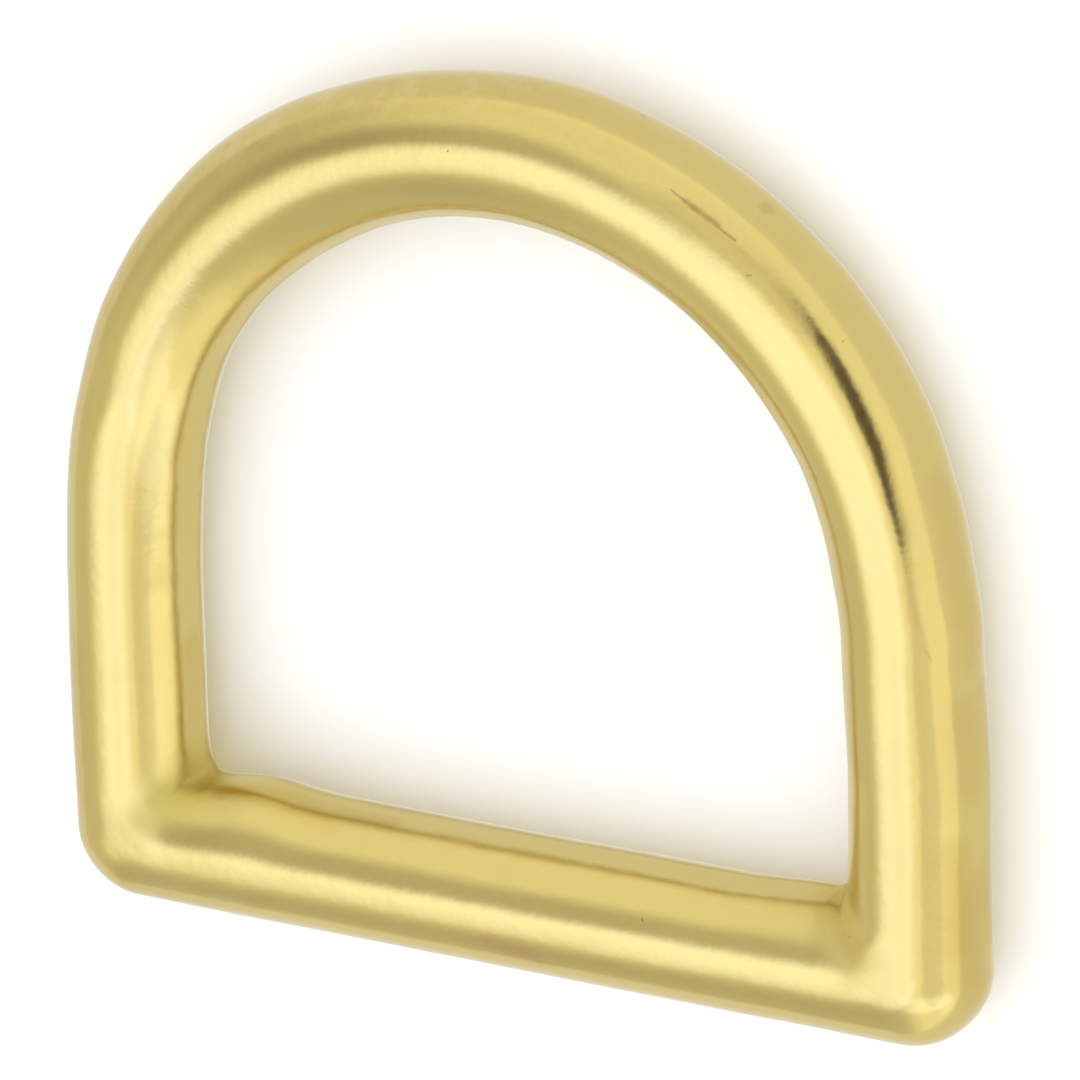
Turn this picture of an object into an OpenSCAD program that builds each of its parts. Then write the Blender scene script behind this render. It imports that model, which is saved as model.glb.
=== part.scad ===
// D ring cast in one piece from brass: a straight bar, two short legs square to
// it and a semicircular bow, all of one round section. The ring lies flat. The
// bar runs along X, the bow points to +Y, and Z is the way through the ring.
// The origin is at the middle of the underside of the box round the ring.

/* [Gap] */
// Clear width of the gap, measured along the bar
gap_w = 25; // [16:1:50]
// Clear length of each leg, from the bar to where the bow begins
leg_l = 8.6; // [5:0.2:30]

/* [Stock] */
// Diameter of the round section
stock_d = 4.6; // [3:0.2:6]

/* [Casting marks] */
// Radius of the fillet inside the left corner
fillet_left = 0.9; // [0.4:0.1:1.5]
// Radius of the fillet inside the right corner
fillet_right = 0.4; // [0.3:0.1:1.5]
// Height of the swelling that the gate left on the inner side of the bar
swell_h = 0.3; // [0.1:0.05:0.5]
// Length of that swelling along the bar
swell_l = 5.5; // [3:0.5:8]
// Distance from the left leg to the middle of that swelling
swell_x = 2.8; // [2:0.2:5]

/* [Smoothness] */
// Number of facets round the section and round a full turn of the bow
facets = 48; // [48:12:144]

/* [Hidden] */

stock_r = stock_d / 2;
// Half the length of the bar, from corner to corner on the centreline
bar_half = gap_w / 2 + stock_r;
// The bow is a half turn that carries straight on from both legs
bow_r = bar_half;
bow_y = leg_l + stock_r;
outer_h = bow_y + bow_r + stock_d;

// A fillet is a bend of slightly thinner stock, sunk just under the skin
fillet_stock_r = 0.94 * stock_r;
fillet_sink = 0.013 * stock_r;

// The swelling is the top of a shallow arch of slightly thinner stock
swell_stock_r = 0.97 * stock_r;
swell_rise = swell_h + stock_r - swell_stock_r;
swell_r = (pow(swell_l / 2, 2) + pow(swell_rise, 2)) / (2 * swell_rise);
swell_turn = 2.4 * asin(swell_l / 2 / swell_r);

// A straight length of the stock that starts at the origin and runs along +Y
module straight(length) {
    rotate([-90, 0, 0])
        cylinder(h = length, r = stock_r, $fn = facets);
}

// A bend of round stock about Z, measured on its centreline
module bend(radius, turn, section_r) {
    rotate_extrude(angle = turn, $fn = 2 * facets)
        translate([radius, 0])
            circle(r = section_r, $fn = facets);
}

module bar() {
    translate([-bar_half, 0, 0])
        rotate(-90)
            straight(2 * bar_half);
}

// side is -1 for the left leg and 1 for the right one
module leg(side) {
    translate([side * bar_half, 0, 0])
        straight(bow_y);
}

module bow() {
    translate([0, bow_y, 0])
        bend(bow_r, 180, stock_r);
}

// Direction in which the quarter turn at each corner starts
function corner_start(side) = side < 0 ? 180 : -90;

// The round outside of a corner: a quarter turn of half the section
module corner_outside(side) {
    translate([side * bar_half, 0, 0])
        rotate(corner_start(side))
            rotate_extrude(angle = 90, $fn = 2 * facets)
                intersection() {
                    circle(r = stock_r, $fn = facets);
                    translate([0, -stock_r])
                        square([stock_r, stock_d]);
                }
}

module corner_fillet(side, fillet_r) {
    inset = stock_r + fillet_r - fillet_sink;
    translate([side * (bar_half - inset), inset, 0])
        rotate(corner_start(side))
            bend(fillet_r + fillet_stock_r, 90, fillet_stock_r);
}

module gate_swell() {
    translate([stock_r + swell_x - bar_half, swell_rise - swell_r, 0])
        rotate(90 - swell_turn / 2)
            bend(swell_r, swell_turn, swell_stock_r);
}

module d_ring() {
    color("#d8bf6b")
        translate([0, stock_r - outer_h / 2, stock_r]) {
            bar();
            bow();
            for (side = [-1, 1]) {
                leg(side);
                corner_outside(side);
            }
            corner_fillet(-1, fillet_left);
            corner_fillet(1, fillet_right);
            gate_swell();
        }
}

d_ring();
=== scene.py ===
import math

import bpy
import numpy as np
from mathutils import Matrix, Vector


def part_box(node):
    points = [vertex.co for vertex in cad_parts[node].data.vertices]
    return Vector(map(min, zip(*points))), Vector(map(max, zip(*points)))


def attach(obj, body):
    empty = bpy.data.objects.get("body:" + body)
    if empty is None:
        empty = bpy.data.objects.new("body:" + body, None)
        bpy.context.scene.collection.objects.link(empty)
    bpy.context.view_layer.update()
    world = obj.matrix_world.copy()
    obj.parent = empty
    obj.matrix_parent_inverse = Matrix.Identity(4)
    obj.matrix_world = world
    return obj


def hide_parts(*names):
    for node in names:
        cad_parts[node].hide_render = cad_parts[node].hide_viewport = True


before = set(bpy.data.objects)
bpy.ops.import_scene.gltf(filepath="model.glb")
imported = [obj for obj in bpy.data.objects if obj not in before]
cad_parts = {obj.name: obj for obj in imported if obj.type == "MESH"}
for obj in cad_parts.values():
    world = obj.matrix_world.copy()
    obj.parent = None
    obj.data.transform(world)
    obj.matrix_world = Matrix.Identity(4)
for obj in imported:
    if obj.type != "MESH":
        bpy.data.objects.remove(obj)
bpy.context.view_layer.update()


# Centre line of the ring
# The ring is one brass casting in the shape of a D: a straight bar, two legs that lean in a little and a
# half-round bow. The founder's pattern is drawn first as its centre line, which also carries how far the
# casting leaves a true round.
MM = 0.001
RING_LOW, RING_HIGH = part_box("d_ring")
STOCK_R = (RING_HIGH.z - RING_LOW.z) / 2
MIDDLE_Z = (RING_HIGH.z + RING_LOW.z) / 2
HALF_SPAN = (RING_HIGH.x - RING_LOW.x) / 2 - STOCK_R
BAR_Y = RING_LOW.y + STOCK_R
CROWN_Y = RING_HIGH.y - STOCK_R
LEG_LEAN = math.radians(1.0)

LEG_OUT = Vector((math.cos(LEG_LEAN), math.sin(LEG_LEAN)))
LEG_UP = Vector((-LEG_OUT.y, LEG_OUT.x))
CORNER = Vector((HALF_SPAN, BAR_Y))
BOW_SHARE = (1 - LEG_OUT.y) / LEG_OUT.x
LEG_LENGTH = (CROWN_Y - BAR_Y - HALF_SPAN * BOW_SHARE) / (LEG_OUT.x - BOW_SHARE * LEG_OUT.y)
SHOULDER = CORNER + LEG_UP * LEG_LENGTH
BOW_R = SHOULDER.x / LEG_OUT.x
BOW_CENTRE = Vector((0.0, CROWN_Y - BOW_R))

# The slices stand square to the line, and fan round a pivot inside each lower corner. They are counted on
# half the bar, one corner, one leg and half the bow.
FAN_ROOM = 1.0 * MM
FAN_PIVOT = Vector((HALF_SPAN - STOCK_R - FAN_ROOM, BAR_Y + STOCK_R + FAN_ROOM))
BAR_SLICES = 75
CORNER_SLICES = 60
LEG_SLICES = 70
BOW_SLICES = 145
NEARLY_ZERO = 1e-9

# Where the casting leaves its pattern. The place is on the centre line in millimetres, and the line is
# walked from the middle of the bar by the right leg, the crown and the left leg. The flat left where the
# flash was trimmed has its upper edge at the trim angle above the middle plane, and reaches down from
# there by twice the spread, both in degrees. The rest are millimetres: how wide the dark mark along that
# edge is (partly a stain, partly a painted dark reflection), and how much each side of the stock is
# filled out.
SECTIONS = [
    # x, y, trim angle, trim spread, edge mark, fill inside, fill outside
    (0.0, -12.85, 22, 12, 0.18, -0.06, -0.02),
    (4.5, -12.85, 23, 12, 0.13, -0.02, -0.02),
    (8.0, -12.85, 24, 12, 0.10, -0.04, -0.02),
    (11.5, -12.85, 21, 12, 0.12, 0.08, -0.02),
    (13.0, -12.85, 18, 13, 0.11, 0.20, 0.00),
    (14.8, -12.0, 15, 14, 0.10, 0.15, -0.03),
    (14.75, -10.6, 13, 13, 0.08, 0.00, -0.05),
    (14.7, -6.0, 14, 13, 0.07, -0.13, 0.02),
    (14.6, -1.5, 18, 13, 0.07, -0.06, -0.15),
    (14.4, 0.7, 22, 12, 0.06, 0.00, -0.29),
    (13.9, 2.8, 26, 11, 0.06, -0.08, -0.25),
    (13.0, 4.8, 31, 10, 0.06, -0.16, -0.12),
    (9.4, 9.4, 43, 8, 0.05, -0.03, -0.07),
    (5.2, 11.9, 46, 8, 0.06, 0.05, -0.06),
    (1.9, 12.7, 44, 8, 0.06, 0.06, 0.00),
    (-1.1, 12.8, 38, 8, 0.06, 0.07, -0.04),
    (-4.5, 12.15, 32, 9, 0.08, 0.10, 0.00),
    (-6.6, 11.3, 29, 9, 0.10, 0.13, 0.10),
    (-8.9, 9.85, 27, 9, 0.12, 0.07, 0.15),
    (-10.9, 7.9, 26, 10, 0.14, -0.03, 0.07),
    (-12.6, 5.6, 25, 12, 0.16, -0.10, 0.00),
    (-14.1, 2.2, 23, 14, 0.18, 0.04, -0.16),
    (-14.5, 0.1, 21, 15, 0.16, 0.06, -0.15),
    (-14.6, -3.6, 18, 15, 0.14, -0.13, -0.01),
    (-14.7, -8.4, 17, 15, 0.13, -0.08, 0.06),
    (-14.8, -12.0, 16, 14, 0.20, 0.00, 0.00),
    (-11.5, -12.85, 22, 12, 0.26, 0.02, -0.02),
    (-7.0, -12.85, 22, 12, 0.22, 0.00, -0.02),
]
DEGREE = math.radians(1)
KEPT_ON_LINE = [
    ("trim_angle", DEGREE), ("trim_spread", DEGREE), ("edge_mark", MM), ("fill_in", MM), ("fill_out", MM)
]


def half_line():
    """Slices from the middle of the bar to the crown: the middle x, y and outward x, y of each."""
    rows = [(x, BAR_Y, 0.0, -1.0) for x in np.linspace(0, FAN_PIVOT.x, BAR_SLICES, endpoint=False)]
    for turn in np.linspace(-math.pi / 2, LEG_LEAN, CORNER_SLICES, endpoint=False):
        out = Vector((math.cos(turn), math.sin(turn)))
        to_bar = (BAR_Y - FAN_PIVOT.y) / min(out.y, -NEARLY_ZERO)
        to_leg = (CORNER - FAN_PIVOT).dot(LEG_OUT) / max(out.dot(LEG_OUT), NEARLY_ZERO)
        rows.append((*(FAN_PIVOT + out * min(to_bar, to_leg)), *out))
    leg_start = (FAN_PIVOT - CORNER).dot(LEG_UP)
    for way in np.linspace(leg_start, LEG_LENGTH, LEG_SLICES, endpoint=False):
        rows.append((*(CORNER + LEG_UP * way), *LEG_OUT))
    for turn in np.linspace(LEG_LEAN, math.pi / 2, BOW_SLICES + 1):
        out = Vector((math.cos(turn), math.sin(turn)))
        rows.append((*(BOW_CENTRE + out * BOW_R), *out))
    return rows


def eased(way, stations, values, whole):
    """Values that ease from one station to the next round the closed line."""
    last = np.searchsorted(stations, way, side="right") - 1
    start, end = stations[last], np.append(stations[1:], whole)[last]
    share = (way - start) / (end - start)
    share = share * share * (3 - 2 * share)
    return values[last] * (1 - share) + np.append(values[1:], values[0])[last] * share


def centre_line():
    """The closed line as a wire mesh. Its points keep the outward way and what the sections say."""
    half = half_line()
    rows = np.array(half + [(-x, y, -out_x, out_y) for x, y, out_x, out_y in half[-2:0:-1]])
    middles = rows[:, :2]
    steps = np.linalg.norm(np.roll(middles, -1, 0) - middles, axis=1)
    way = np.concatenate([[0.0], np.cumsum(steps)[:-1]])
    sections = np.array(SECTIONS)
    nearest = [np.argmin(np.hypot(*(middles - spot * MM).T)) for spot in sections[:, :2]]
    count = len(rows)
    mesh = bpy.data.meshes.new("centre_line")
    points = [(x, y, MIDDLE_Z) for x, y in middles]
    mesh.from_pydata(points, [(i, (i + 1) % count) for i in range(count)], [])
    outward = mesh.attributes.new("outward", "FLOAT_VECTOR", "POINT")
    outward.data.foreach_set("vector", np.c_[rows[:, 2:], np.zeros(count)].ravel())
    for column, (name, unit) in enumerate(KEPT_ON_LINE, start=2):
        values = eased(way, way[nearest], sections[:, column] * unit, steps.sum())
        mesh.attributes.new(name, "FLOAT", "POINT").data.foreach_set("value", values)
    line = bpy.data.objects.new("centre_line", mesh)
    bpy.context.collection.objects.link(line)
    return line


# The casting
# The brass is poured into a sand mould, so the D's skin is one closed surface: round stock whose lower
# corners round off outside and fill in inside. Flash along the hole was trimmed to a narrow band, and
# tumbling rolled every edge over.
class Wire:
    """A value in a node tree. Sums, products and calls on it add the nodes that work them out."""

    def __init__(self, socket):
        self.socket = socket
        self.tree = socket.id_data

    def work(self, operation, *others):
        values = (self, *others)
        if not any(is_vector(value) for value in values):
            return add_node(self.tree, "ShaderNodeMath", values, operation=operation)
        values = [(value,) * 3 if isinstance(value, (int, float)) else value for value in values]
        return add_node(self.tree, "ShaderNodeVectorMath", values, operation=operation)

    def __add__(self, other):
        return self.work("ADD", other)

    def __sub__(self, other):
        return self.work("SUBTRACT", other)

    def __mul__(self, other):
        return self.work("MULTIPLY", other)

    def __truediv__(self, other):
        return self.work("DIVIDE", other)

    def dot(self, other):
        return add_node(self.tree, "ShaderNodeVectorMath", (self, other), out=1, operation="DOT_PRODUCT")

    def length(self):
        return add_node(self.tree, "ShaderNodeVectorMath", (self,), out=1, operation="LENGTH")

    def unit(self):
        return add_node(self.tree, "ShaderNodeVectorMath", (self,), operation="NORMALIZE")

    def part(self, axis):
        return add_node(self.tree, "ShaderNodeSeparateXYZ", (self,), out="XYZ".index(axis))

    def step(self, start, end, low=0.0, high=1.0):
        """Eases from low to high while the value goes from start to end."""
        values = (self, start, end, low, high)
        return add_node(self.tree, "ShaderNodeMapRange", values, interpolation_type="SMOOTHSTEP")

    def bell(self, width):
        """1 where the value is zero, falling off like a bell over the width."""
        share = self / width
        return (share * share * -1.0).work("EXPONENT")


def is_vector(value):
    return value.socket.type == "VECTOR" if isinstance(value, Wire) else hasattr(value, "__len__")


def add_node(tree, kind, values=(), out=0, **settings):
    """Adds a node, sets it, feeds its inputs by place or name, and returns one of its outputs as a wire."""
    node = tree.nodes.new(kind)
    for name, value in settings.items():
        setattr(node, name, value)
    for place, value in values.items() if isinstance(values, dict) else enumerate(values):
        if isinstance(value, Wire):
            tree.links.new(value.socket, node.inputs[place])
        else:
            node.inputs[place].default_value = value
    return Wire(node.outputs[out])


def rod_gap(point, start, end):
    """Distance from a point to a straight rod's centre line."""
    axis = end - start
    along = ((point - start).dot(axis) / axis.dot(axis)).work("MAXIMUM", 0.0).work("MINIMUM", 1.0)
    return (point - start - along * axis).length()


def vector(tree, x, y, z):
    return add_node(tree, "ShaderNodeCombineXYZ", (x, y, z))


def skin_gap(tree, size):
    """How far a point lies outside the D. Its bar and legs melt together inside the corners."""
    point = add_node(tree, "GeometryNodeInputPosition")
    radius, cut = size["Stock radius"], size["Corner cut"]
    half_span, bar_y, middle_z = size["Half span"], size["Bar Y"], size["Middle Z"]
    corners = {side: vector(tree, half_span * side, bar_y, middle_z) for side in (-1, 1)}
    bar_cut = vector(tree, cut, 0.0, 0.0)
    gap = rod_gap(point, corners[-1] + bar_cut, corners[1] - bar_cut)
    for side, hand in ((-1, "Left"), (1, "Right")):
        lean_x = size["Lean"].work("SINE") * -side
        lean_y = size["Lean"].work("COSINE")
        leg_way = vector(tree, lean_x, lean_y, 0.0)
        foot = corners[side] + leg_way * cut
        leg = rod_gap(point, foot, corners[side] + leg_way * size["Leg length"])
        # How far inside the corner the point lies, as a share of the stock.
        inward = half_span - point.part("X") * side + point.part("Y") - bar_y
        inward = inward / (radius * 2.0)
        melt = inward.step(0.0, size["Fillet reach"], size["Outside fillet"], size[hand + " fillet"])
        gap = gap.work("SMOOTH_MIN", leg, melt)
    from_bow = point - vector(tree, 0.0, size["Bow centre Y"], middle_z)
    in_plane = vector(tree, from_bow.part("X"), from_bow.part("Y"), 0.0)
    bow = vector(tree, in_plane.length() - size["Bow radius"], from_bow.part("Z"), 0.0).length()
    # Below its two ends the bow is a metre away, so that only the legs count there.
    below = from_bow.part("X").work("ABSOLUTE") * size["Lean"].work("TANGENT") - from_bow.part("Y")
    bow = bow + below.work("GREATER_THAN", 0.0)
    return gap.work("MINIMUM", bow) - radius


def named(tree, name, data_type="FLOAT"):
    return add_node(tree, "GeometryNodeInputNamedAttribute", (name,), data_type=data_type)


def stored(skin, name, value, data_type="FLOAT"):
    feed = {"Geometry": skin, "Name": name, "Value": value}
    return add_node(skin.tree, "GeometryNodeStoreNamedAttribute", feed, data_type=data_type)


def casting_tree():
    tree = bpy.data.node_groups.new("d_ring_casting", "GeometryNodeTree")
    tree.interface.new_socket("Geometry", in_out="OUTPUT", socket_type="NodeSocketGeometry")
    tree.interface.new_socket("Centre line", in_out="INPUT", socket_type="NodeSocketGeometry")
    for name in CASTING_SIZES:
        tree.interface.new_socket(name, in_out="INPUT", socket_type="NodeSocketFloat")
    for name in ("Slices", "Points round", "Seed"):
        tree.interface.new_socket(name, in_out="INPUT", socket_type="NodeSocketInt")
    tree.interface.new_socket("Brass", in_out="INPUT", socket_type="NodeSocketMaterial")
    given = tree.nodes.new("NodeGroupInput")
    size = {socket.name: Wire(socket) for socket in given.outputs if socket.name}

    # A grid of slices by points round is wrapped about the centre line, as a tube that is too fat.
    rows, columns = size["Slices"] + 1.0, size["Points round"] + 1.0
    skin = add_node(tree, "GeometryNodeMeshGrid", {"Vertices X": rows, "Vertices Y": columns})
    index = add_node(tree, "GeometryNodeInputIndex")
    slice_number = (index / columns).work("FLOOR").work("MODULO", size["Slices"])
    turn = index.work("MODULO", columns) / size["Points round"] * math.tau

    def on_line(value, data_type):
        feed = {"Geometry": size["Centre line"], "Value": value, "Index": slice_number}
        return add_node(tree, "GeometryNodeSampleIndex", feed, data_type=data_type, domain="POINT")

    heart = on_line(add_node(tree, "GeometryNodeInputPosition"), "FLOAT_VECTOR")
    outward = on_line(named(tree, "outward", "FLOAT_VECTOR"), "FLOAT_VECTOR")
    way = outward * turn.work("COSINE") + vector(tree, 0.0, 0.0, turn.work("SINE"))
    for name, value in (("heart", heart), ("way", way), ("outward", outward)):
        skin = stored(skin, name, value, "FLOAT_VECTOR")
    for name, _ in KEPT_ON_LINE:
        skin = stored(skin, name, on_line(named(tree, name), "FLOAT"))
    heart, way, outward = (named(tree, name, "FLOAT_VECTOR") for name in ("heart", "way", "outward"))
    blank = {"Geometry": skin, "Position": heart + way * (size["Stock radius"] * BLANK_FATNESS)}
    skin = add_node(tree, "GeometryNodeSetPosition", blank)
    skin = add_node(tree, "GeometryNodeMergeByDistance", {"Geometry": skin, "Distance": WELD_DISTANCE})

    # The tube shrinks onto the skin of the D, a step at a time.
    start = tree.nodes.new("GeometryNodeRepeatInput")
    end = tree.nodes.new("GeometryNodeRepeatOutput")
    start.pair_with_output(end)
    start.inputs["Iterations"].default_value = SHRINK_STEPS
    tree.links.new(skin.socket, start.inputs["Geometry"])
    feed = {"Geometry": Wire(start.outputs["Geometry"]), "Offset": way * skin_gap(tree, size) * -1.0}
    shrunk = add_node(tree, "GeometryNodeSetPosition", feed)
    tree.links.new(shrunk.socket, end.inputs["Geometry"])
    skin = Wire(end.outputs["Geometry"])

    # The flat left where the flash was trimmed. How far inside it a point lies is kept for the finish.
    radius = size["Stock radius"]
    inner = way.dot(outward) * -1.0
    lift = way.part("Z").work("ARCTAN2", inner)
    below = named(tree, "trim_angle") - lift
    trim = below.work("MINIMUM", named(tree, "trim_spread") * 2.0 - below)
    place = add_node(tree, "GeometryNodeInputPosition")
    wander = {"Vector": place, "Scale": 1 / WANDER_GRAIN, "Detail": 3.0, "Roughness": 0.6}
    wander = (add_node(tree, "ShaderNodeTexNoise", wander) - 0.5) * size["Trim wander"]
    skin = stored(skin, "trim", trim * radius + wander)
    skin = stored(skin, "facing_out", inner * -1.0)
    trim = named(tree, "trim")

    # Relief on the skin: the fills, the trimmed flat, the burr that was rolled over along its upper edge and
    # is wider towards the hole, waves from the sand, and lumps and knocks at known places.
    normal = add_node(tree, "GeometryNodeInputNormal")
    inside, outside = inner.work("MAXIMUM", 0.0), (inner * -1.0).work("MAXIMUM", 0.0)
    relief = inside * inside * named(tree, "fill_in") + outside * outside * named(tree, "fill_out")
    flat = trim * trim / (radius * 2.0) - trim * named(tree, "trim_spread")
    relief = relief + flat.work("SMOOTH_MIN", 0.0, size["Edge rounding"])
    burr = named(tree, "edge_mark") * size["Burr share"] + size["Burr height"]
    inside_edge = below * radius + wander
    turn_over = size["Edge rounding"]
    burr_width = inside_edge.step(turn_over * -1.0, turn_over, size["Burr outside"], size["Burr inside"])
    relief = relief + (inside_edge / burr_width).bell(1.0) * burr
    for name, waves_a_metre in (("Slow waves", 130.0), ("Quick waves", 420.0)):
        feed = {"Vector": place, "W": size["Seed"], "Scale": waves_a_metre, "Detail": 1.0}
        wave = add_node(tree, "ShaderNodeTexNoise", feed, noise_dimensions="4D")
        relief = relief + (wave - 0.5) * size[name]
    for spot, spread, height in LUMPS:
        relief = relief + (place - spot).length().bell(spread * MM) * (height * MM)
    skin = add_node(tree, "GeometryNodeSetPosition", {"Geometry": skin, "Offset": normal * relief})

    # Front and back are rubbed down to the stock's thickness where metal stood proud.
    above = (place.part("Z") - size["Middle Z"]).work("SMOOTH_MIN", radius, size["Rub rounding"])
    above = above.work("SMOOTH_MAX", radius * -1.0, size["Rub rounding"])
    rubbed = vector(tree, place.part("X"), place.part("Y"), above + size["Middle Z"])
    skin = add_node(tree, "GeometryNodeSetPosition", {"Geometry": skin, "Position": rubbed})
    skin = add_node(tree, "GeometryNodeSetShadeSmooth", {"Geometry": skin, "Shade Smooth": True})
    for name in ("heart", "way", "outward", "trim_angle", "trim_spread", "fill_in", "fill_out"):
        skin = add_node(tree, "GeometryNodeRemoveAttribute", {"Geometry": skin, "Name": name})
    skin = add_node(tree, "GeometryNodeRealizeInstances", {"Geometry": skin})
    skin = add_node(tree, "GeometryNodeSetMaterial", {"Geometry": skin, "Material": size["Brass"]})
    result = tree.nodes.new("NodeGroupOutput")
    tree.links.new(skin.socket, result.inputs["Geometry"])
    return tree


# A place this near to the bar's centre line belongs to the bar and not to a leg.
BAR_MARGIN = 0.05 * MM


def on_skin(x, y, around):
    """A point on the stock: its place on the line in millimetres, and degrees from outward over the top."""
    heart, turn = Vector((x, y)) * MM, math.radians(around)
    if heart.y > BOW_CENTRE.y:
        out = (heart - BOW_CENTRE).normalized()
    elif heart.y > BAR_Y + BAR_MARGIN:
        out = Vector((math.copysign(1.0, x), 0.0))
    else:
        out = Vector((0.0, -1.0))
    spot = heart + out * (STOCK_R * math.cos(turn))
    return (spot.x, spot.y, MIDDLE_Z + STOCK_R * math.sin(turn))


# The mesh: points round each slice, how fat the blank tube is beside the stock, and the steps in which it
# shrinks onto the skin. The seed sets the waves.
POINTS_ROUND = 139
BLANK_FATNESS = 1.9
SHRINK_STEPS = 24
WELD_DISTANCE = 1e-7
WANDER_GRAIN = 1.6 * MM
SAND_SEED = 11

# Sizes that the casting's tree takes: metres, but radians for the lean and shares for reach and share.
CASTING_SIZES = {
    "Stock radius": STOCK_R,
    "Middle Z": MIDDLE_Z,
    "Half span": HALF_SPAN,
    "Bar Y": BAR_Y,
    "Lean": LEG_LEAN,
    "Leg length": LEG_LENGTH,
    "Bow radius": BOW_R,
    "Bow centre Y": BOW_CENTRE.y,
    "Corner cut": 0.3 * MM,
    "Left fillet": 1.15 * MM,
    "Right fillet": 1.0 * MM,
    "Outside fillet": 0.3 * MM,
    "Fillet reach": 0.35,
    "Edge rounding": 0.05 * MM,
    "Burr share": 0.25,
    "Burr height": 0.04 * MM,
    "Burr inside": 1.2 * MM,
    "Burr outside": 0.45 * MM,
    "Rub rounding": 0.1 * MM,
    "Trim wander": 0.20 * MM,
    "Slow waves": 0.09 * MM,
    "Quick waves": 0.02 * MM,
}

# Lumps and knocks: a place on the skin, how wide it spreads and how high it stands, in millimetres.
LUMPS = [
    (on_skin(-9.7, -12.85, 175), 1.6, 0.28),
    (on_skin(14.2, -12.85, 123), 0.7, 0.10),
    (on_skin(14.2, -12.85, 127), 0.22, 0.05),
    (on_skin(14.6, -12.6, 128), 0.20, -0.04),
    (on_skin(-14.8, -11.2, 127), 0.24, 0.04),
    (on_skin(-14.8, -12.4, 140), 0.22, -0.05),
    (on_skin(-14.1, -12.85, 137), 0.22, 0.06),
    (on_skin(-13.8, -12.85, 172), 0.30, 0.05),
    (on_skin(-11.5, -12.85, 160), 0.28, 0.03),
    (on_skin(-13.9, 3.1, 80), 1.3, -0.08),
]


# Colours of the brass where it is rubbed, tarnished, stained, spotted and scuffed, with painted shade on
# the left rim and a painted dark reflection at the trimmed edge.
BRIGHT_BRASS = (0.715, 0.575, 0.205, 1.0)
TAN_BRASS = (0.67, 0.515, 0.18, 1.0)
SHADED_RIM_BRASS = (0.58, 0.45, 0.125, 1.0)
PALE_PATCH = (0.73, 0.60, 0.25, 1.0)
TRIM_BAND = (0.67, 0.52, 0.165, 1.0)
TRIM_LINE_AND_REFLECTION = (0.45, 0.34, 0.09, 1.0)
ORANGE_STAIN = (0.69, 0.48, 0.12, 1.0)
FLASH_STAIN = (0.60, 0.44, 0.12, 1.0)
TAN_STAIN = (0.63, 0.465, 0.15, 1.0)
GREEN_STAIN = (0.66, 0.57, 0.14, 1.0)
RUBBED_BRIGHT = (0.83, 0.67, 0.25, 1.0)
COPPER_BLUSH = (0.70, 0.46, 0.20, 1.0)
DULL_SPOT = (0.55, 0.43, 0.13, 1.0)
SCUFF = (0.40, 0.30, 0.10, 1.0)

# Stains and worn places: start and end on the skin, full and faded distance in millimetres, colour, share.
STAINS = [
    (on_skin(-14.0, -12.85, 175), on_skin(-12.2, -12.85, 165), 0.2, 1.9, GREEN_STAIN, 0.7),
    (on_skin(-14.8, -11.4, 150), on_skin(-14.7, -9.6, 165), 0.1, 1.2, GREEN_STAIN, 0.5),
    (on_skin(12.2, -12.85, 158), on_skin(13.8, -12.85, 165), 0.2, 1.6, GREEN_STAIN, 0.45),
    (on_skin(-11.4, -12.85, 158), on_skin(-6.5, -12.85, 150), 0.1, 0.7, ORANGE_STAIN, 0.35),
    (on_skin(-11.8, -12.85, 167), on_skin(-4.5, -12.85, 161), 0.15, 0.6, FLASH_STAIN, 0.55),
    (on_skin(0.2, -12.85, 73), on_skin(1.7, -12.85, 62), 0.10, 0.70, COPPER_BLUSH, 0.62),
    (on_skin(8.5, 10.1, 3), on_skin(8.5, 10.1, 8), 0.08, 0.34, DULL_SPOT, 0.5),
    (on_skin(14.7, -9.6, 8), on_skin(14.8, -12.0, 18), 0.2, 1.6, TAN_STAIN, 0.6),
    (on_skin(14.7, -3.5, 22), on_skin(14.6, -5.5, 16), 0.1, 1.3, TAN_STAIN, 0.45),
    (on_skin(14.6, -1.6, 4), on_skin(13.8, 2.8, 8), 0.1, 1.2, TAN_STAIN, 0.4),
    (on_skin(14.7, -11.0, 36), on_skin(14.7, -8.0, 34), 0.1, 0.9, FLASH_STAIN, 0.5),
    (on_skin(14.7, -11.0, -15), on_skin(14.6, -3.0, -15), 0.1, 0.9, FLASH_STAIN, 0.6),
    (on_skin(-14.7, -11.0, 42), on_skin(-14.6, -6.0, 42), 0.3, 1.4, FLASH_STAIN, 0.6),
    (on_skin(-14.7, -10.5, 178), on_skin(-14.65, -6.0, 178), 0.2, 1.2, FLASH_STAIN, 0.5),
    (on_skin(-14.7, -10.0, 144), on_skin(-14.6, -4.0, 144), 0.15, 0.8, RUBBED_BRIGHT, 0.7),
    (on_skin(14.7, -10.5, 130), on_skin(14.7, -6.0, 130), 0.30, 1.0, RUBBED_BRIGHT, 0.6),
]

# Knocks and scratches: start and end on the skin, half width in millimetres, depth in thousandths of one.
SCRATCHES = [
    (on_skin(6.6, 11.25, 49), on_skin(7.5, 10.8, 52), 0.04, 4),
    (on_skin(7.1, 11.0, 51), on_skin(8.1, 10.4, 50), 0.10, 16),
    (on_skin(8.0, 10.4, 50), on_skin(8.6, 10.05, 50), 0.05, 8),
    (on_skin(14.6, -1.2, 54), on_skin(14.6, -1.5, 50), 0.05, 5),
    (on_skin(12.9, 5.2, 4), on_skin(13.1, 4.8, 7), 0.04, 6),
    (on_skin(4.4, 12.2, -6), on_skin(4.6, 12.1, -4), 0.06, 9),
    (on_skin(5.7, -12.85, 117), on_skin(5.72, -12.85, 116), 0.045, 8),
    (on_skin(9.4, 9.4, 60), on_skin(9.35, 9.45, 62), 0.04, 4),
]

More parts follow.
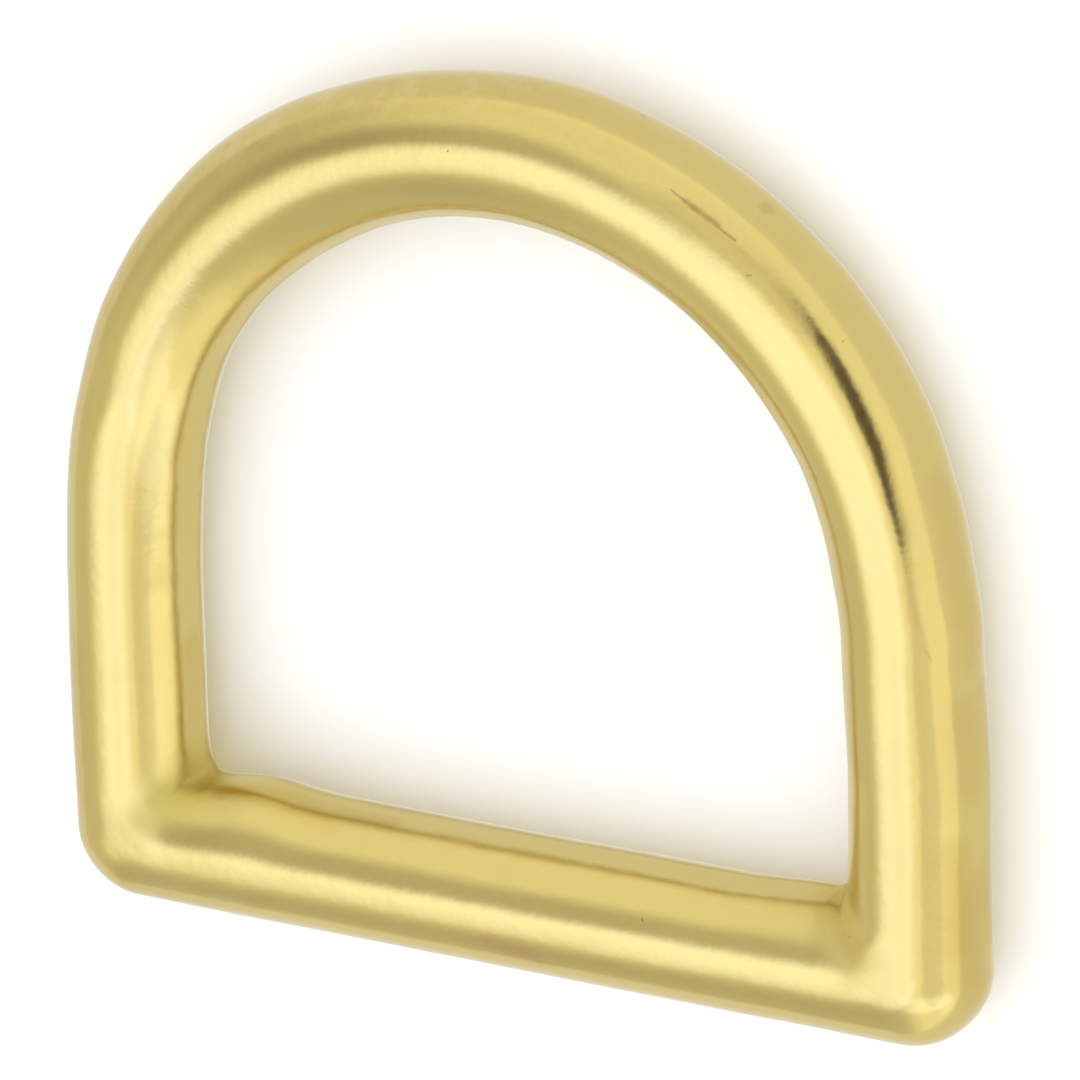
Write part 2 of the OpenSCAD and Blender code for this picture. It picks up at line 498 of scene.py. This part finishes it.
# Grain of the finish: how far apart its clouds, patches, freckles and specks lie, in millimetres.
CLOUD_GRAIN = 2.4
PATCH_GRAIN = 1.1
FRECKLE_GRAIN = 0.38
SPECK_GRAIN = 1.5

# How rough the polished brass is, and what each kind of place adds to that.
POLISHED_ROUGHNESS = 0.13
MATT_ROUGHNESS = 0.12
PATCH_ROUGHNESS = 0.06
TARNISH_ROUGHNESS = 0.03
FLAT_ROUGHNESS = 0.05
NOOK_ROUGHNESS = 0.42
EDGE_ROUGHNESS = 0.18

# Fine relief: the grain and height of the sand and of the tumbling's dimples, and the depth of the pits.
SAND_GRAIN = 0.16
SAND_HEIGHT = 0.0009 * MM
TARNISH_HEIGHT = 0.0012 * MM
DIMPLE_GRAIN = 0.5
DIMPLE_HEIGHT = 0.007 * MM
PIT_DEPTH = 0.008 * MM


def shade_brass():
    """Yellow brass, tumbled satin: rubbed bright, tan outside the bow, stained along the trimmed flat, with
    painted shade on the left rim and a painted dark reflection at the flat's edge.
    """
    brass = bpy.data.materials.new("tumbled_brass")
    brass.use_nodes = True
    tree = brass.node_tree
    shader = tree.nodes["Principled BSDF"]
    shader.inputs["Metallic"].default_value = 1.0
    place = add_node(tree, "ShaderNodeTexCoord", out=3)

    def noise(grain, detail=2.0, roughness=0.5):
        """Clouds whose grain is given in millimetres."""
        feed = {"Vector": place, "Scale": 1 / (grain * MM), "Detail": detail, "Roughness": roughness}
        return add_node(tree, "ShaderNodeTexNoise", feed)

    def kept(name):
        return add_node(tree, "ShaderNodeAttribute", out=2, attribute_name=name)

    def tinted(colour, tint, share):
        return add_node(tree, "ShaderNodeMix", {0: share, 6: colour, 7: tint}, out=2, data_type="RGBA")

    clouds = noise(CLOUD_GRAIN, 3.0)
    patches = noise(PATCH_GRAIN, 2.0, 0.6)
    freckles = noise(FRECKLE_GRAIN, 2.0, 0.6)
    trim, edge_mark, facing_out = kept("trim"), kept("edge_mark"), kept("facing_out")
    x, y = place.part("X"), place.part("Y")

    # Tarnish lies outside the bow, but was rubbed off its right-hand rim. The left-hand rim is tinted darker
    # as painted shade, standing in for its dimmer reflection.
    tarnish = facing_out.step(0.30, 0.80) * y.step(-4 * MM, 4 * MM)
    tarnish = tarnish - tarnish * facing_out.step(0.55, 0.85) * x.step(0.0, 7 * MM)
    rim_shade = facing_out.step(0.40, 0.70) * x.step(-8 * MM, -13 * MM)
    flat = trim.step(0.0, 0.25 * MM)

    # Each tint says where it lies and, last, how much of it shows there.
    colour = tinted(BRIGHT_BRASS, TAN_BRASS, tarnish * 0.7 + clouds.step(0.45, 0.75) * 0.25)
    colour = tinted(colour, PALE_PATCH, tarnish * patches.step(0.50, 0.68) * 0.6)
    colour = tinted(colour, DULL_SPOT, tarnish * freckles.step(0.52, 0.72) * 0.25)
    # Painted shade: the left-hand outer rim is tinted darker.
    colour = tinted(colour, SHADED_RIM_BRASS, rim_shade * 0.40)
    colour = tinted(colour, TRIM_BAND, flat * 0.35)
    for start, end, full, faded, stain, share in STAINS:
        gap = rod_gap(place, Vector(start), Vector(end)) + (patches - 0.5) * (faded * 0.6 * MM)
        colour = tinted(colour, stain, gap.step(full * MM, faded * MM, share, 0.0))
    # A ragged dark mark runs just outside the edge of the flat: partly a stain, partly a painted dark
    # reflection of the ring's opposite side.
    ragged_line_and_reflection = trim + 0.12 * MM + (freckles - 0.5) * (0.16 * MM)
    strength = patches.step(0.25, 0.60, 0.35, 0.62)
    colour = tinted(colour, TRIM_LINE_AND_REFLECTION, (ragged_line_and_reflection / edge_mark).bell(1.0) * strength)
    # About every second speck is a dark pit.
    specks = {"Vector": place, "Scale": 1 / (SPECK_GRAIN * MM)}
    pit_gap = add_node(tree, "ShaderNodeTexVoronoi", specks) + (freckles - 0.5) * 0.06
    lottery = add_node(tree, "ShaderNodeTexVoronoi", specks, out=1).part("X")
    pit = pit_gap.step(0.012, 0.045, 1.0, 0.0) * lottery.step(0.50, 0.60)
    colour = tinted(colour, DULL_SPOT, pit * 0.7)

    # The sheen is dull in the nooks inside the lower corners, where the tumbling didn't reach, along the
    # edge of the flat, and on the inner side of the right leg.
    corner_x = x.work("ABSOLUTE") - HALF_SPAN
    corner_y = y - BAR_Y
    nook = (corner_x + corner_y).bell(1.1 * MM) * (corner_y - corner_x).step(1.0 * MM, 2.6 * MM)
    matt = facing_out.step(-0.35, -0.60) * x.step(5 * MM, 12 * MM)
    edge = (trim + 0.14 * MM).bell(0.28 * MM)
    rough = matt * MATT_ROUGHNESS + patches * PATCH_ROUGHNESS + tarnish * TARNISH_ROUGHNESS
    rough = rough + flat * FLAT_ROUGHNESS + nook * NOOK_ROUGHNESS + edge * EDGE_ROUGHNESS
    rough = rough + POLISHED_ROUGHNESS
    tree.links.new(rough.socket, shader.inputs["Roughness"])

    # Fine relief: grain from the sand, dimples from the tumbling, then pits and scratches.
    height = noise(SAND_GRAIN) * (tarnish * TARNISH_HEIGHT + SAND_HEIGHT)
    height = height + noise(DIMPLE_GRAIN) * DIMPLE_HEIGHT - pit * PIT_DEPTH
    for start, end, half_width, depth in SCRATCHES:
        gap = rod_gap(place, Vector(start), Vector(end)) + (freckles - 0.5) * (half_width * 1.8 * MM)
        cut = gap.bell(half_width * MM)
        height = height - cut * (depth * MM / 1000)
        colour = tinted(colour, SCUFF, cut * 0.75)
    tree.links.new(colour.socket, shader.inputs["Base Color"])
    bump = add_node(tree, "ShaderNodeBump", {"Height": height, "Strength": 1.0, "Distance": 1.0})
    tree.links.new(bump.socket, shader.inputs["Normal"])
    return brass


def cast_ring(brass):
    """Runs the casting's tree on the centre line and keeps the result as one plain mesh."""
    line = centre_line()
    casting = line.modifiers.new("casting", "NODES")
    casting.node_group = casting_tree()
    given = dict(CASTING_SIZES)
    given.update({"Slices": len(line.data.vertices), "Points round": POINTS_ROUND})
    given.update({"Seed": SAND_SEED, "Brass": brass})
    for socket in casting.node_group.interface.items_tree:
        if socket.in_out == "INPUT" and socket.name in given:
            casting[socket.identifier] = given[socket.name]
    scene_now = bpy.context.evaluated_depsgraph_get()
    cast = line.evaluated_get(scene_now)
    mesh = bpy.data.meshes.new_from_object(cast, preserve_all_data_layers=True, depsgraph=scene_now)
    mesh.name = "ring_casting"
    bpy.data.objects.remove(line)
    ring = bpy.data.objects.new("ring_casting", mesh)
    bpy.context.collection.objects.link(ring)
    return ring


ring = cast_ring(shade_brass())
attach(ring, "root")
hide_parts("d_ring")


# Floor
# The ring lies on a wide sheet of plain pale paper. The paper is matt and takes the ring's own soft shadow.
# In the brass it shows as one even pale tone, without that shadow.
FLOOR_R = 2.0
FLOOR_SIDES = 64
FLOOR_WHITE = (0.90, 0.90, 0.90, 1.0)
FLOOR_IN_BRASS = (0.89, 0.89, 0.89, 1.0)
BLACK = (0.0, 0.0, 0.0, 1.0)


def lay_floor():
    mesh = bpy.data.meshes.new("floor")
    turns = [math.tau * i / FLOOR_SIDES for i in range(FLOOR_SIDES)]
    outline = [(FLOOR_R * math.cos(turn), FLOOR_R * math.sin(turn), 0.0) for turn in turns]
    mesh.from_pydata(outline, [], [tuple(range(FLOOR_SIDES))])
    paper = bpy.data.materials.new("pale_floor")
    paper.use_nodes = True
    tree = paper.node_tree
    shader = tree.nodes["Principled BSDF"]
    mirrored = add_node(tree, "ShaderNodeLightPath", out="Is Glossy Ray")
    tones = (("Base Color", FLOOR_WHITE, BLACK), ("Emission Color", BLACK, FLOOR_IN_BRASS))
    for socket, straight, in_brass in tones:
        feed = {0: mirrored, 6: straight, 7: in_brass}
        tone = add_node(tree, "ShaderNodeMix", feed, out=2, data_type="RGBA")
        tree.links.new(tone.socket, shader.inputs[socket])
    shader.inputs["Emission Strength"].default_value = 1.0
    shader.inputs["Roughness"].default_value = 0.9
    shader.inputs["Specular IOR Level"].default_value = 0.1
    paper.cycles.emission_sampling = "NONE"
    mesh.materials.append(paper)
    floor = bpy.data.objects.new("floor", mesh)
    bpy.context.collection.objects.link(floor)


lay_floor()


# Camera
# It looks down on the lying ring over its right shoulder, and is rolled a little about its own axis. The
# turn tips it from straight above towards the ring's right side, and the rise towards the bow.
CAMERA_TURN = math.radians(30.69)
CAMERA_RISE = math.radians(18.73)
CAMERA_ROLL = math.radians(-1.81)
CAMERA_AIM = Vector((1.15 * MM, -0.21 * MM, MIDDLE_Z))
CAMERA_DISTANCE = 201.1 * MM
SENSOR_WIDTH = 36.0
LENS = 208.5

across_share = math.cos(CAMERA_RISE)
toward = Vector(
    (math.sin(CAMERA_TURN) * across_share, math.sin(CAMERA_RISE), math.cos(CAMERA_TURN) * across_share)
)
unrolled = Vector((0.0, 1.0, 0.0)).cross(toward).normalized()
camera_right = unrolled * math.cos(CAMERA_ROLL) + toward.cross(unrolled) * math.sin(CAMERA_ROLL)
camera_up = toward.cross(camera_right)


def set_camera():
    lens = bpy.data.cameras.new("camera")
    lens.lens = LENS
    lens.sensor_width = SENSOR_WIDTH
    lens.clip_start = 0.01
    lens.clip_end = 10.0
    camera = bpy.data.objects.new("camera", lens)
    spot = CAMERA_AIM + toward * CAMERA_DISTANCE
    turned = Matrix((camera_right, camera_up, toward)).transposed().to_4x4()
    camera.matrix_world = Matrix.Translation(spot) @ turned
    bpy.context.collection.objects.link(camera)
    bpy.context.scene.camera = camera


set_camera()


# Light
# A white light tent stands round the table, with soft bright and dim panels in it and the dark camera
# looking in. The brass shows the panels. The floor is lit by the tent's even glow.
TENT_GLOW = 1.19
TENT_WHITE = (1.0, 1.0, 0.95)
PANEL_WHITE = (0.80, 0.98, 1.85)
CAMERA_GREY = (0.09, 0.065, 0.06)
FLOOR_GLOW = 1.45

# Angles are in degrees. Right and above start from the way to the camera, and the lean turns the wide way.
TENT_PANELS = [
    # right, above, half width, half height, lean, softness, glow added
    (-107, 3, 36, 47, 0, 0.35, -0.42),
    (-57, 6, 23, 18, 12, 0.60, -0.52),
    (12, 0, 8.5, 21, -8, 0.28, -0.95),
    (13, 1, 14, 25, 10, 0.35, -0.42),
    (-41, -25, 30, 24, 24, 0.25, 0.48),
    (3, -58, 40, 12, 4, 0.20, 0.33),
    (20, -42, 14, 19, 40, 0.12, -0.26),
    (-16, 17, 17, 14, 20, 0.15, -0.25),
    (-118, -64, 50, 22, -9, 0.60, -0.48),
    (68, -54, 30, 10, -10, 0.50, 0.15),
    (-25, 48, 70, 20, 0, 0.50, -0.11),
]


def hang_tent():
    world = bpy.data.worlds.new("light_tent")
    bpy.context.scene.world = world
    world.use_nodes = True
    tree = world.node_tree
    way = add_node(tree, "ShaderNodeTexCoord").unit()
    glow = add_node(tree, "ShaderNodeCombineXYZ", [TENT_GLOW * share for share in TENT_WHITE])
    for right, above, half_width, half_height, lean, softness, added in TENT_PANELS:
        turn, rise, lean = (math.radians(angle) for angle in (right, above, lean))
        level = toward * math.cos(turn) + camera_right * math.sin(turn)
        middle = level * math.cos(rise) + camera_up * math.sin(rise)
        side = camera_right * math.cos(turn) - toward * math.sin(turn)
        top = middle.cross(side)
        wide_way = side * math.cos(lean) + top * math.sin(lean)
        high_way = top * math.cos(lean) - side * math.sin(lean)
        across = way.dot(tuple(wide_way)) / math.sin(math.radians(half_width))
        upward = way.dot(tuple(high_way)) / math.sin(math.radians(half_height))
        reach = (across * across + upward * upward).work("SQRT")
        share = reach.step(1 + softness, 1 - softness) * way.dot(tuple(middle)).work("GREATER_THAN", 0.0)
        tint = PANEL_WHITE if added > 0 else TENT_WHITE
        glow = glow + vector(tree, share, share, share) * [added * part for part in tint]
    panels = add_node(tree, "ShaderNodeBackground", (glow.work("MAXIMUM", CAMERA_GREY),))
    plain = add_node(tree, "ShaderNodeBackground", ((FLOOR_GLOW, FLOOR_GLOW, FLOOR_GLOW, 1.0),))
    gloss = add_node(tree, "ShaderNodeLightPath", out="Is Glossy Ray")
    seen = add_node(tree, "ShaderNodeMixShader", (gloss, plain, panels))
    tree.links.new(seen.socket, tree.nodes["World Output"].inputs["Surface"])
    # The tent is bright all over, so rays find it by themselves and none are aimed at it.
    world.cycles.sampling_method = "NONE"


hang_tent()
bpy.context.scene.view_settings.view_transform = "Standard"
